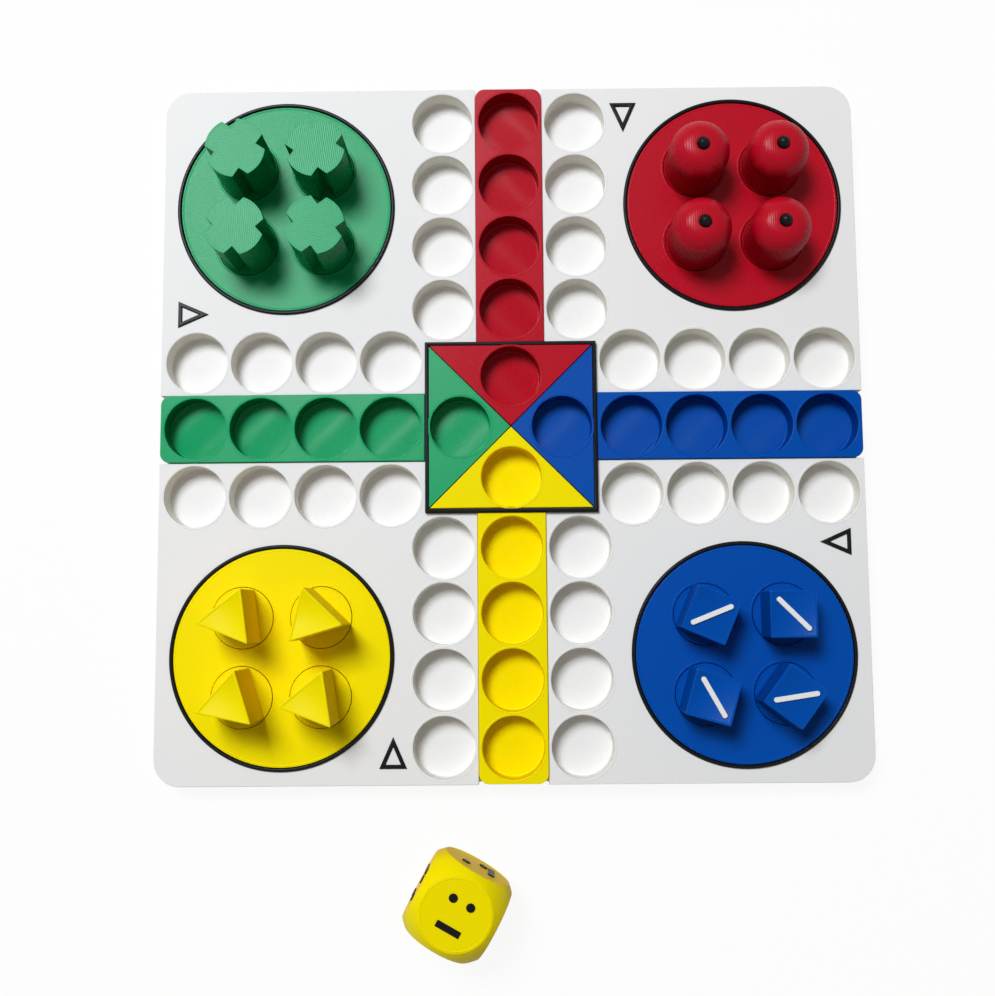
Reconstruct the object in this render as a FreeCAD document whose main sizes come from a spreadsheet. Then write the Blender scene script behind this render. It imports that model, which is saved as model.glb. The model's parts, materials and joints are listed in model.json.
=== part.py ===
"""Tactile ludo set: a square board with cups, four colours of home, track and goal, sixteen pawns and a die.

The origin is at the centre of the board's underside, +Z is up and +Y runs along the red track.
Each coloured piece is drawn in the red player's quarter and turned about Z to its own quarter.
"""
import FreeCAD
import Part
import Sketcher
import os

# Driving dimensions in millimetres and counts: name, value, meaning
SIZES = [
    ("board_thickness", 9.0, "underside to the white top"),
    ("board_corner_radius", 8.0, "rounding of the board's four corners"),
    ("sheet_thickness", 1.2, "base sheet under the white fields and everything let in between them"),
    ("seat_clearance", 0.1, "play around a piece that is let into the board"),
    ("cup_pitch", 20.0, "distance between neighbouring cups along an arm"),
    ("cup_wall", 1.2, "wall between neighbouring cups"),
    ("cup_depth", 7.0, "depth of every cup and home socket"),
    ("cup_floor_radius", 0.5, "rounding between a cup's wall and its floor"),
    ("cups_per_arm", 4, "cups along one arm"),
    ("edge_wall", 1.6, "last cup of an arm to the board's edge"),
    ("slot_wall", 0.9, "wall between a white cup and the track beside it"),
    ("track_wall", 1.0, "wall between a track's cup and the track's side"),
    ("track_end_inset", 0.3, "board edge to the outer end of a track"),
    ("track_rise", 0.8, "height of a track above the white top"),
    ("track_corner_radius", 3.0, "rounding of a track's outer corners"),
    ("goal_half", 26.3, "board centre to the outside of the goal frame"),
    ("goal_wall", 1.1, "wall of the goal frame"),
    ("goal_rise", 2.0, "height of the goal frame above the white top"),
    ("tile_drop", 0.2, "top of the frame down to the tops of the goal tiles"),
    ("tile_gap", 0.3, "slit between two goal tiles"),
    ("tile_cup_radius", 9.2, "cups of the goal tiles"),
    ("tile_cup_wall", 0.3, "wall between a goal tile's cup and the tile's back"),
    ("home_edge", 4.25, "board edge to the black ring around a home"),
    ("home_radius", 32.7, "radius of a home disc"),
    ("home_rise", 0.4, "height of a home disc above the white top"),
    ("ring_width", 1.2, "width of the black ring around a home"),
    ("ring_rise", 0.8, "height of the black ring above the white top"),
    ("socket_offset", 11.9, "middle of a disc to a socket along X and along Y"),
    ("start_gap", 5.9, "rims of the cups beside an arm to the start arrow's middle line"),
    ("start_edge", 5.0, "board edge to the base of the start arrow"),
    ("start_length", 9.4, "base to tip of the start arrow"),
    ("start_width", 8.3, "base width of the start arrow"),
    ("start_line", 1.2, "width of the arrow's line"),
    ("start_rise", 0.6, "height of the arrow above the white top"),
    ("plug_clearance", 0.4, "play between a pawn's plug and the wall of a cup"),
    ("plug_proud", 0.3, "height of the plug's shoulder above the home disc"),
    ("notched_height", 19.0, "notched pawn above its shoulder"),
    ("notch_depth", 2.6, "depth of a notch in the pawn's side"),
    ("notches", 4, "notches around a pawn"),
    ("domed_height", 18.8, "domed pawn above its shoulder, up to the foot of its dot"),
    ("dot_radius", 1.95, "black dot on the dome"),
    ("dot_rim", 0.75, "flat rim around the dot, inside the dome's rounding"),
    ("prism_height", 19.3, "three-sided pawn above its shoulder"),
    ("prism_overhang", 0.45, "how far the three-sided pawn's corners would pass the plug before their rounding"),
    ("prism_edge_radius", 0.35, "rounding of the three upright edges"),
    ("block_height", 13.0, "square pawn above its shoulder"),
    ("block_overhang", 0.7, "how far the square pawn's corners would pass the plug before their rounding"),
    ("block_edge_radius", 0.5, "rounding of the four upright edges"),
    ("bar_inset", 3.0, "square pawn's corner to the end of its white bar"),
    ("bar_width", 1.5, "width of the white bar"),
    ("bar_height", 0.6, "height of the white bar"),
    ("bar_end_radius", 0.7, "rounding of the bar's ends"),
    ("die_edge", 24.8, "distance between two opposite faces of the die"),
    ("die_ball_radius", 16.3, "ball that rounds the die's corners"),
    ("die_side_offset", 17.0, "die's middle to the left of the board's middle line"),
    ("die_gap", 33.5, "board's front edge to the die's middle"),
    ("mark_height", 0.4, "height of the die's raised marks"),
    ("mark_radius", 1.3, "radius of a round mark"),
    ("mark_spacing", 5.6, "distance between two rows or columns of round marks"),
    ("mark_top_row", 3.8, "face's middle up to the first row of marks"),
    ("mark_bar_drop", 4.4, "face's middle down to the mark's bar"),
    ("mark_bar_length", 7.6, "length of the mark's bar"),
    ("mark_bar_width", 2.0, "width of the mark's bar"),
    ("overrun", 2.0, "how far a cut runs past the face that it opens"),
]

X_AXIS = FreeCAD.Vector(1, 0, 0)
Y_AXIS = FreeCAD.Vector(0, 1, 0)
Z_AXIS = FreeCAD.Vector(0, 0, 1)
FULL_TURN = 360.0
TOLERANCE = 1e-4

# The players in their order around the board, each a quarter turn on from the one before
COLOURS = ("red", "green", "yellow", "blue")
QUARTERS = {colour: number * FULL_TURN / len(COLOURS) for number, colour in enumerate(COLOURS)}

# The four places in a home, as signs along X and Y: back left, back right, front left, front right
PLACES = ((-1, 1), (1, 1), (-1, -1), (1, -1))

# How far each pawn is turned in its socket, in degrees, in the order of PLACES
PAWN_TURNS = {
    "red": (0.0, 0.0, 0.0, 0.0),
    "green": (11.3, 8.9, -3.4, -8.7),
    "yellow": (68.0, 106.5, 77.8, 68.9),
    "blue": (21.6, -45.0, -61.0, 8.4),
}

# The die's turn about Z, in degrees
DIE_TURN = -29.4

# Round marks of each number as (column, row): the digits of a touch alphabet in two columns and two rows
DIGITS = {
    1: [(-1, 0)],
    2: [(-1, 0), (-1, 1)],
    3: [(-1, 0), (1, 0)],
    4: [(-1, 0), (1, 0), (1, 1)],
    5: [(-1, 0), (1, 1)],
    6: [(-1, 0), (1, 0), (-1, 1)],
}

# The die's faces: the number's outward direction and the direction in which its marks point up
DIE_FACES = {
    3: (Z_AXIS, Y_AXIS),
    4: (-Z_AXIS, Y_AXIS),
    5: (Y_AXIS, -X_AXIS),
    2: (-Y_AXIS, X_AXIS),
    6: (-X_AXIS, -Y_AXIS),
    1: (X_AXIS, Y_AXIS),
}

doc = FreeCAD.newDocument("tactile_ludo_set")
sheet = doc.addObject("Spreadsheet::Sheet", "Sizes")
for line, (alias, value, meaning) in enumerate(SIZES, start=1):
    sheet.set(f"A{line}", meaning)
    sheet.set(f"B{line}", str(value))
    sheet.setAlias(f"B{line}", alias)
doc.recompute()

# Lengths that follow from the driving dimensions, as expressions
CUP_RADIUS = "((Sizes.cup_pitch - Sizes.cup_wall) / 2)"
GOAL_SEAT_HALF = "(Sizes.goal_half + Sizes.seat_clearance)"
GOAL_INNER_HALF = "(Sizes.goal_half - Sizes.goal_wall)"
CUP_FIRST = f"({GOAL_SEAT_HALF} + Sizes.cup_wall + {CUP_RADIUS})"
CUP_LAST = f"({CUP_FIRST} + (Sizes.cups_per_arm - 1) * Sizes.cup_pitch)"
BOARD_HALF = f"({CUP_LAST} + {CUP_RADIUS} + Sizes.edge_wall)"
TRACK_HALF = f"({CUP_RADIUS} + Sizes.track_wall)"
SLOT_HALF = f"({TRACK_HALF} + Sizes.seat_clearance)"
CUP_SIDE_OFFSET = f"({SLOT_HALF} + Sizes.slot_wall + {CUP_RADIUS})"
RECESS_DEPTH = "(Sizes.board_thickness - Sizes.sheet_thickness)"
TRACK_HEIGHT = f"({RECESS_DEPTH} + Sizes.track_rise)"
TILE_HEIGHT = f"({RECESS_DEPTH} + Sizes.goal_rise - Sizes.tile_drop)"
HOME_HEIGHT = f"({RECESS_DEPTH} + Sizes.home_rise)"
RING_INNER_RADIUS = "(Sizes.home_radius + Sizes.seat_clearance)"
RING_OUTER_RADIUS = f"({RING_INNER_RADIUS} + Sizes.ring_width)"
HOME_OFFSET = f"({BOARD_HALF} - Sizes.home_edge - {RING_OUTER_RADIUS})"
PLUG_RADIUS = f"({CUP_RADIUS} - Sizes.plug_clearance)"
SOCKET_FLOOR = "(Sizes.board_thickness + Sizes.home_rise - Sizes.cup_depth)"
SHOULDER = "(Sizes.cup_depth + Sizes.plug_proud)"


def size(expression):
    """The present value of an expression on the sheet."""
    return float(sheet.evalExpression(expression))


def cup_row(row):
    """Board centre to one cup of an arm, as an expression."""
    return f"{CUP_FIRST} + {row} * Sizes.cup_pitch"


def origin_feature(body, role):
    """One of a body's own origin planes or axes."""
    return next(item for item in body.Origin.OriginFeatures if item.Role == role)


def new_body(label):
    """An empty body under the name of its piece."""
    body = doc.addObject("PartDesign::Body", label)
    body.Label = label
    return body


def new_sketch(body, name, height="0"):
    """A sketch parallel to the body's XY plane at a height."""
    sketch = body.newObject("Sketcher::SketchObject", f"{body.Name}_{name}")
    sketch.AttachmentSupport = [(origin_feature(body, "XY_Plane"), "")]
    sketch.MapMode = "FlatFace"
    sketch.setExpression("AttachmentOffset.Base.z", height)
    return sketch


def bind_point(sketch, geometry, point, name, place):
    """Ties one point of a sketch to expressions for its X and Y, or to an axis where one is 0."""
    for kind, axis, expression in (("DistanceX", -2, place[0]), ("DistanceY", -1, place[1])):
        if expression == "0":
            sketch.addConstraint(Sketcher.Constraint("PointOnObject", geometry, point, axis))
            continue
        index = sketch.addConstraint(Sketcher.Constraint(kind, -1, 1, geometry, point, size(expression)))
        sketch.renameConstraint(index, f"{name}{kind}")
        sketch.setExpression(f"Constraints.{name}{kind}", expression)


def add_circle(sketch, name, place, radius):
    """A circle whose middle and radius follow expressions."""
    middle = FreeCAD.Vector(size(place[0]), size(place[1]), 0)
    geometry = sketch.addGeometry(Part.Circle(middle, Z_AXIS, size(radius)))
    bind_point(sketch, geometry, 3, name, place)
    index = sketch.addConstraint(Sketcher.Constraint("Radius", geometry, size(radius)))
    sketch.renameConstraint(index, f"{name}Radius")
    sketch.setExpression(f"Constraints.{name}Radius", radius)


def add_outline(sketch, name, places):
    """A closed outline of straight lines through corners that follow expressions."""
    corners = [FreeCAD.Vector(size(x), size(y), 0) for x, y in places]
    lines = []
    for start, end in zip(corners, corners[1:] + corners[:1]):
        lines.append(sketch.addGeometry(Part.LineSegment(start, end)))
    for line, after in zip(lines, lines[1:] + lines[:1]):
        sketch.addConstraint(Sketcher.Constraint("Coincident", line, 2, after, 1))
    for number, (line, place) in enumerate(zip(lines, places)):
        bind_point(sketch, line, 1, f"{name}{number}", place)


def rectangle(x_low, x_high, y_low, y_high):
    """The corners of a rectangle, as expressions."""
    return [(x_low, y_low), (x_high, y_low), (x_high, y_high), (x_low, y_high)]


def square(half):
    """The corners of a square about the Z axis, as expressions."""
    return rectangle(f"-{half}", half, f"-{half}", half)


def pad(body, sketch, height):
    """Raises a sketch by a height."""
    feature = body.newObject("PartDesign::Pad", f"{sketch.Name}_pad")
    feature.Profile = sketch
    feature.setExpression("Length", height)
    doc.recompute()
    return feature


def pocket(body, sketch, depth):
    """Sinks a sketch down into the body by a depth."""
    before = body.Shape.Volume
    feature = body.newObject("PartDesign::Pocket", f"{sketch.Name}_pocket")
    feature.Profile = sketch
    feature.setExpression("Length", depth)
    doc.recompute()
    if body.Shape.Volume >= before:
        raise RuntimeError(f"{feature.Name} removes nothing")
    return feature


def round_edges(body, name, radius, test):
    """Rounds those edges of a body that pass a test."""
    base = body.Tip
    edges = [f"Edge{number}" for number, edge in enumerate(base.Shape.Edges, start=1) if test(edge)]
    feature = body.newObject("PartDesign::Fillet", f"{body.Name}_{name}")
    feature.Base = (base, edges)
    feature.setExpression("Radius", radius)
    doc.recompute()
    return feature


def is_upright(edge):
    """Whether an edge is straight and runs along Z."""
    low = edge.Vertexes[0].Point
    high = edge.Vertexes[-1].Point
    return abs(low.z - high.z) > TOLERANCE and (high - low).cross(Z_AXIS).Length < TOLERANCE


def sink_cups(body, places, top, radius):
    """Sinks cups with rounded floors into the top of a body."""
    cups = new_sketch(body, "cups", top)
    for number, place in enumerate(places):
        add_circle(cups, f"cup{number}", place, radius)
    pocket(body, cups, "Sizes.cup_depth")
    floor = size(f"{top} - Sizes.cup_depth")

    def is_floor_edge(edge):
        return isinstance(edge.Curve, Part.Circle) and abs(edge.BoundBox.ZMax - floor) < TOLERANCE

    round_edges(body, "floors", "Sizes.cup_floor_radius", is_floor_edge)


def seat_in_quarter(piece, height, turn):
    """Lifts a piece to its height and turns it about Z to its player's quarter."""
    piece.Placement = FreeCAD.Placement(FreeCAD.Vector(0, 0, size(height)), FreeCAD.Rotation(Z_AXIS, turn))
    piece.setExpression("Placement.Base.z", height)


def make_base_sheet():
    """The sheet that joins the white fields and closes the board's underside."""
    body = new_body("base_sheet")
    outline = new_sketch(body, "outline")
    add_outline(outline, "edge", square(BOARD_HALF))
    pad(body, outline, "Sizes.sheet_thickness")
    round_edges(body, "corners", "Sizes.board_corner_radius", is_upright)
    return body


def make_white_field(colour, turn):
    """A white quarter of the board between two tracks: cups along both, and a round well for the home disc."""
    body = new_body(f"white_field_{colour}")
    corners = [
        (SLOT_HALF, GOAL_SEAT_HALF),
        (GOAL_SEAT_HALF, GOAL_SEAT_HALF),
        (GOAL_SEAT_HALF, SLOT_HALF),
        (BOARD_HALF, SLOT_HALF),
        (BOARD_HALF, BOARD_HALF),
        (SLOT_HALF, BOARD_HALF),
    ]
    outline = new_sketch(body, "outline")
    add_outline(outline, "corner", corners)
    pad(body, outline, RECESS_DEPTH)
    board_half = size(BOARD_HALF)

    def is_board_corner(edge):
        low = edge.Vertexes[0].Point
        return is_upright(edge) and min(low.x, low.y) > board_half - TOLERANCE

    round_edges(body, "board_corner", "Sizes.board_corner_radius", is_board_corner)
    rows = [cup_row(row) for row in range(int(size("Sizes.cups_per_arm")))]
    places = [(CUP_SIDE_OFFSET, row) for row in rows] + [(row, CUP_SIDE_OFFSET) for row in rows]
    sink_cups(body, places, RECESS_DEPTH, CUP_RADIUS)
    well = new_sketch(body, "home_well", RECESS_DEPTH)
    add_circle(well, "rim", (HOME_OFFSET, HOME_OFFSET), RING_INNER_RADIUS)
    pocket(body, well, f"{RECESS_DEPTH} + Sizes.overrun")
    seat_in_quarter(body, "Sizes.sheet_thickness", turn)
    return body


def make_track(colour, turn):
    """A coloured track: a block with a row of cups that is let into the board."""
    body = new_body(f"{colour}_track")
    inner_end = f"({GOAL_SEAT_HALF} + Sizes.seat_clearance)"
    outer_end = f"({BOARD_HALF} - Sizes.track_end_inset)"
    outline = new_sketch(body, "outline")
    add_outline(outline, "side", rectangle(f"-{TRACK_HALF}", TRACK_HALF, inner_end, outer_end))
    pad(body, outline, TRACK_HEIGHT)
    middle = size(f"({inner_end} + {outer_end}) / 2")

    def is_outer_corner(edge):
        return is_upright(edge) and edge.Vertexes[0].Point.y > middle

    round_edges(body, "outer_corners", "Sizes.track_corner_radius", is_outer_corner)
    places = [("0", cup_row(row)) for row in range(int(size("Sizes.cups_per_arm")))]
    sink_cups(body, places, TRACK_HEIGHT, CUP_RADIUS)
    seat_in_quarter(body, "Sizes.sheet_thickness", turn)
    return body


def make_goal_frame():
    """The black square wall around the four goal tiles."""
    body = new_body("goal_frame")
    outline = new_sketch(body, "outline")
    add_outline(outline, "outside", square("Sizes.goal_half"))
    add_outline(outline, "inside", square(GOAL_INNER_HALF))
    pad(body, outline, f"{RECESS_DEPTH} + Sizes.goal_rise")
    seat_in_quarter(body, "Sizes.sheet_thickness", 0)
    return body


def make_goal_tile(colour, turn):
    """A three-cornered goal tile with one cup, its right angle at the board's middle."""
    body = new_body(f"{colour}_goal_tile")
    back = f"({GOAL_INNER_HALF} - Sizes.seat_clearance)"
    tip = "(Sizes.tile_gap / sqrt(2))"
    wing = f"({back} - {tip})"
    outline = new_sketch(body, "outline")
    add_outline(outline, "side", [("0", tip), (wing, back), (f"-{wing}", back)])
    pad(body, outline, TILE_HEIGHT)
    cup_offset = f"({back} - Sizes.tile_cup_wall - Sizes.tile_cup_radius)"
    sink_cups(body, [("0", cup_offset)], TILE_HEIGHT, "Sizes.tile_cup_radius")
    seat_in_quarter(body, "Sizes.sheet_thickness", turn)
    return body


def make_home_disc(colour, turn):
    """A coloured disc with four pawn sockets that is let into the board."""
    body = new_body(f"{colour}_home_disc")
    outline = new_sketch(body, "outline")
    add_circle(outline, "rim", (HOME_OFFSET, HOME_OFFSET), "Sizes.home_radius")
    pad(body, outline, HOME_HEIGHT)
    sockets = new_sketch(body, "sockets", HOME_HEIGHT)
    for number, signs in enumerate(PLACES):
        place = [f"{HOME_OFFSET} + {sign} * Sizes.socket_offset" for sign in signs]
        add_circle(sockets, f"socket{number}", place, CUP_RADIUS)
    pocket(body, sockets, "Sizes.cup_depth")
    seat_in_quarter(body, "Sizes.sheet_thickness", turn)
    return body


def make_home_ring(colour, turn):
    """The raised black ring on the board around a home disc."""
    body = new_body(f"{colour}_home_ring")
    middle = (HOME_OFFSET, HOME_OFFSET)
    outline = new_sketch(body, "outline")
    add_circle(outline, "outside", middle, RING_OUTER_RADIUS)
    add_circle(outline, "inside", middle, RING_INNER_RADIUS)
    pad(body, outline, "Sizes.ring_rise")
    seat_in_quarter(body, "Sizes.board_thickness", turn)
    return body


def make_start_arrow(colour, turn):
    """The raised black arrow outline that shows where a player enters the track."""
    body = new_body(f"{colour}_start_arrow")
    offset = f"({CUP_SIDE_OFFSET} + {CUP_RADIUS} + Sizes.start_gap)"
    outer_base = f"({BOARD_HALF} - Sizes.start_edge)"
    inner_base = f"({outer_base} - Sizes.start_line)"
    half = "(Sizes.start_width / 2)"
    slope = f"sqrt(Sizes.start_length ^ 2 + {half} ^ 2)"
    # The inner triangle is the outer one drawn in by the line's width on all three sides
    inner_share = f"(1 - Sizes.start_line * ({half} + {slope}) / ({half} * Sizes.start_length))"
    outline = new_sketch(body, "outline")
    for name, base, share in (("outside", outer_base, "1"), ("inside", inner_base, inner_share)):
        left = (f"{offset} - {half} * {share}", base)
        right = (f"{offset} + {half} * {share}", base)
        tip = (offset, f"{base} - Sizes.start_length * {share}")
        add_outline(outline, name, [left, right, tip])
    pad(body, outline, "Sizes.start_rise")
    seat_in_quarter(body, "Sizes.board_thickness", turn)
    return body


def seat_pawn(piece, colour, number, height):
    """Stands a pawn, or what sits on it at a height, on the floor of its socket."""
    corner = FreeCAD.Rotation(Z_AXIS, QUARTERS[colour]).multVec(X_AXIS + Y_AXIS)
    home_signs = (round(corner.x), round(corner.y))
    place = []
    for home_sign, sign in zip(home_signs, PLACES[number]):
        place.append(f"{home_sign} * {HOME_OFFSET} + {sign} * Sizes.socket_offset")
    place.append(f"{SOCKET_FLOOR} + {height}")
    base = FreeCAD.Vector(*[size(expression) for expression in place])
    piece.Placement = FreeCAD.Placement(base, FreeCAD.Rotation(Z_AXIS, PAWN_TURNS[colour][number]))
    for letter, expression in zip("xyz", place):
        piece.setExpression(f"Placement.Base.{letter}", expression)


def add_plug(body, height):
    """The pawn's round plug, from the socket's floor up to a height."""
    plug = new_sketch(body, "plug")
    add_circle(plug, "rim", ("0", "0"), PLUG_RADIUS)
    pad(body, plug, height)


def flat_sided_pawn(label, corners, height, edge_radius):
    """A pawn with flat sides and rounded upright edges on a round plug."""
    body = new_body(label)
    column = new_sketch(body, "column", SHOULDER)
    add_outline(column, "corner", corners)
    pad(body, column, height)
    round_edges(body, "sides", edge_radius, is_upright)
    add_plug(body, SHOULDER)
    return body


def make_green_pawn(label):
    """A round pawn with four upright notches that reach down to its shoulder."""
    body = new_body(label)
    top = f"({SHOULDER} + Sizes.notched_height)"
    add_plug(body, top)
    notch = new_sketch(body, "notch", top)
    bottom = f"({PLUG_RADIUS} - Sizes.notch_depth)"
    mouth = f"({PLUG_RADIUS} + Sizes.overrun)"
    half = "(Sizes.notch_depth + Sizes.overrun)"
    add_outline(notch, "side", [(bottom, "0"), (mouth, f"-{half}"), (mouth, half)])
    cut = pocket(body, notch, "Sizes.notched_height")
    pattern = body.newObject("PartDesign::PolarPattern", f"{label}_notches")
    pattern.Originals = [cut]
    pattern.Axis = (origin_feature(body, "Z_Axis"), [""])
    pattern.Angle = FULL_TURN
    pattern.setExpression("Occurrences", "Sizes.notches")
    body.Tip = pattern
    doc.recompute()
    return [(body, "0")]


def make_yellow_pawn(label):
    """A three-sided pawn on a round plug."""
    reach = f"({PLUG_RADIUS} + Sizes.prism_overhang)"
    back = f"-{reach} / 2"
    side = f"{reach} * sqrt(3) / 2"
    corners = [(reach, "0"), (back, side), (back, f"-{side}")]
    return [(flat_sided_pawn(label, corners, "Sizes.prism_height", "Sizes.prism_edge_radius"), "0")]


def make_blue_pawn(label):
    """A square pawn on a round plug, with a white bar along one diagonal of its top."""
    reach = f"({PLUG_RADIUS} + Sizes.block_overhang)"
    corners = [(reach, "0"), ("0", reach), (f"-{reach}", "0"), ("0", f"-{reach}")]
    body = flat_sided_pawn(label, corners, "Sizes.block_height", "Sizes.block_edge_radius")
    bar = new_body(f"{label}_bar")
    end = f"({reach} - Sizes.bar_inset)"
    half = "(Sizes.bar_width / 2)"
    outline = new_sketch(bar, "outline")
    add_outline(outline, "side", rectangle(f"-{end}", end, f"-{half}", half))
    pad(bar, outline, "Sizes.bar_height")
    round_edges(bar, "ends", "Sizes.bar_end_radius", is_upright)
    return [(body, "0"), (bar, f"{SHOULDER} + Sizes.block_height")]


def make_red_pawn(label):
    """A round pawn with a domed top and a black dot on the dome's flat tip."""
    top = f"({SHOULDER} + Sizes.domed_height)"
    body = new_body(label)
    add_plug(body, top)

    def is_top_edge(edge):
        return abs(edge.BoundBox.ZMin - size(top)) < TOLERANCE

    round_edges(body, "dome", f"{PLUG_RADIUS} - Sizes.dot_radius - Sizes.dot_rim", is_top_edge)
    dot = doc.addObject("Part::Sphere", f"{label}_dot")
    dot.Label = f"{label}_dot"
    dot.Angle1 = 0
    dot.setExpression("Radius", "Sizes.dot_radius")
    doc.recompute()
    return [(body, "0"), (dot, top)]


PAWN_MAKERS = {"red": make_red_pawn, "green": make_green_pawn, "yellow": make_yellow_pawn, "blue": make_blue_pawn}


def make_pawns(colour):
    """The four pawns of one colour, each in its own socket and turned its own way."""
    pieces = []
    for number in range(len(PLACES)):
        for piece, height in PAWN_MAKERS[colour](f"{colour}_pawn_{number + 1}"):
            seat_pawn(piece, colour, number, height)
            pieces.append(piece)
    return pieces


def seat_die_piece(piece, face, local):
    """Places a piece of the die, from its place in the frame of one face about the die's middle."""
    across = size("-Sizes.die_side_offset")
    along = size(f"-({BOARD_HALF} + Sizes.die_gap)")
    middle = FreeCAD.Vector(across, along, size("Sizes.die_edge / 2 + Sizes.mark_height"))
    die = FreeCAD.Placement(middle, FreeCAD.Rotation(Z_AXIS, DIE_TURN))
    piece.Placement = die * FreeCAD.Placement(FreeCAD.Vector(), face) * FreeCAD.Placement(local, FreeCAD.Rotation())


def make_die():
    """The die: a cube whose corners are rounded by a ball."""
    half = size("Sizes.die_edge / 2")
    cube = doc.addObject("Part::Box", "die_cube")
    for side in ("Length", "Width", "Height"):
        cube.setExpression(side, "Sizes.die_edge")
    seat_die_piece(cube, FreeCAD.Rotation(), FreeCAD.Vector(-half, -half, -half))
    ball = doc.addObject("Part::Sphere", "die_ball")
    ball.setExpression("Radius", "Sizes.die_ball_radius")
    seat_die_piece(ball, FreeCAD.Rotation(), FreeCAD.Vector())
    die = doc.addObject("Part::Common", "die")
    die.Label = "die"
    die.Base = cube
    die.Tool = ball
    return die


def make_die_marks():
    """The raised numbers on the die's six faces, each with a bar under it that shows which way is up."""
    solids = []
    surface = size("Sizes.die_edge / 2")
    spacing = size("Sizes.mark_spacing")
    top_row = size("Sizes.mark_top_row")
    bar_corner_x = size("-Sizes.mark_bar_length / 2")
    bar_corner_y = size("-Sizes.mark_bar_drop - Sizes.mark_bar_width / 2")
    for digit, (outward, up) in DIE_FACES.items():
        face = FreeCAD.Rotation(up.cross(outward), up, outward, "ZYX")
        for column, row in DIGITS[digit]:
            dot = doc.addObject("Part::Cylinder", f"die_dot_{digit}")
            dot.setExpression("Radius", "Sizes.mark_radius")
            dot.setExpression("Height", "Sizes.mark_height")
            seat_die_piece(dot, face, FreeCAD.Vector(column * spacing / 2, top_row - row * spacing, surface))
            solids.append(dot)
        bar = doc.addObject("Part::Box", f"die_bar_{digit}")
        bar.setExpression("Length", "Sizes.mark_bar_length")
        bar.setExpression("Width", "Sizes.mark_bar_width")
        bar.setExpression("Height", "Sizes.mark_height")
        seat_die_piece(bar, face, FreeCAD.Vector(bar_corner_x, bar_corner_y, surface))
        solids.append(bar)
    marks = doc.addObject("Part::Compound", "die_marks")
    marks.Label = "die_marks"
    marks.Links = solids
    return marks


def make_all():
    """Every piece of the set."""
    pieces = [make_base_sheet(), make_goal_frame()]
    makers = (make_white_field, make_track, make_goal_tile, make_home_disc, make_home_ring, make_start_arrow)
    for colour, turn in QUARTERS.items():
        pieces += [maker(colour, turn) for maker in makers]
        pieces += make_pawns(colour)
    return pieces + [make_die(), make_die_marks()]


def write(pieces):
    """Checks every object of the document and every piece, then writes one file for each piece."""
    doc.recompute()
    for item in doc.Objects:
        if {"Invalid", "Error"} & set(item.State):
            raise RuntimeError(f"{item.Name} failed: {item.State}")
    for piece in pieces:
        if piece.Shape.isNull() or not piece.Shape.isValid():
            raise RuntimeError(f"{piece.Label} has no valid shape")
    os.makedirs("parts", exist_ok=True)
    for piece in pieces:
        piece.Shape.exportStep(f"parts/{piece.Label}.step")
        print(piece.Label, len(piece.Shape.Solids), round(piece.Shape.Volume, 1))


write(make_all())
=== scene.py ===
"""Dresses the tactile ludo set: printed plastic with its beads, layers and eased edges, on a pale floor."""
import json
import logging
import math
from dataclasses import dataclass, field
from enum import Enum
from typing import Any, Callable, Optional

import bmesh
import bpy
from mathutils import Matrix, Vector

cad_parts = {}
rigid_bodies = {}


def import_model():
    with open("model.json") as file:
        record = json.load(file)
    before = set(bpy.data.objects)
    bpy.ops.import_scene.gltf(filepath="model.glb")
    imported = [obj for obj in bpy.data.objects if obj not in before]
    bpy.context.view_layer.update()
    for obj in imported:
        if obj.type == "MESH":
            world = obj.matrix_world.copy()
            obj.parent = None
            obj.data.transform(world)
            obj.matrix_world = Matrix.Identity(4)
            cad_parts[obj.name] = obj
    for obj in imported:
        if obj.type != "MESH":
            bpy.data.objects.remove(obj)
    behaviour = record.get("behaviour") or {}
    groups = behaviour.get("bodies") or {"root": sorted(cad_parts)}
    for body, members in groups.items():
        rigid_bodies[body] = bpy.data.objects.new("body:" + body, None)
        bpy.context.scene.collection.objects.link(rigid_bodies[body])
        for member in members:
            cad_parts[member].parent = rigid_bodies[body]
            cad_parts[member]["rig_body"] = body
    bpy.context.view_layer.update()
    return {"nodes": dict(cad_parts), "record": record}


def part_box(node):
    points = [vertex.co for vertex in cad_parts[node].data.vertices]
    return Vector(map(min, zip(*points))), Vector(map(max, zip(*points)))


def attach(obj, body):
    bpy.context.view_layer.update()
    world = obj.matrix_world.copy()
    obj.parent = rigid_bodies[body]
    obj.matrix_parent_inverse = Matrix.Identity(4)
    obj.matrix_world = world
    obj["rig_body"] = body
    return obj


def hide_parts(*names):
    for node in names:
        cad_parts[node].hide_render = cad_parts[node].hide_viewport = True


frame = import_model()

LOG = logging.getLogger("ludo_set")
MM = 0.001
TURN_ATTRIBUTE = "raster_turn"
FACING_ATTRIBUTE = "facing"
UP = Vector((0.0, 0.0, 1.0))
WHITE_LIGHT = (1.0, 1.0, 1.0, 1.0)
COLOURS = ("red", "green", "yellow", "blue")
PAWN_NUMBERS = (1, 2, 3, 4)
SLANT = math.radians(45)
DIE_TURN = math.radians(-29.4)
LAYER_MM = 0.4  # twice a real layer, so that it shows from the camera
LEVEL_SLACK_MM = 0.02
SHARP_EDGE_DEGREES = 35.0

Outline = list[tuple[float, float]]
EdgeTest = Callable[[Vector, Vector], bool]


class Filament(Enum):
    """The plastics of the set, by the record's material slots."""

    WHITE = "white_print"
    BLACK = "black_print"
    RED = "red_print"
    GREEN = "green_print"
    YELLOW = "yellow_print"
    BLUE = "blue_print"


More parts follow.
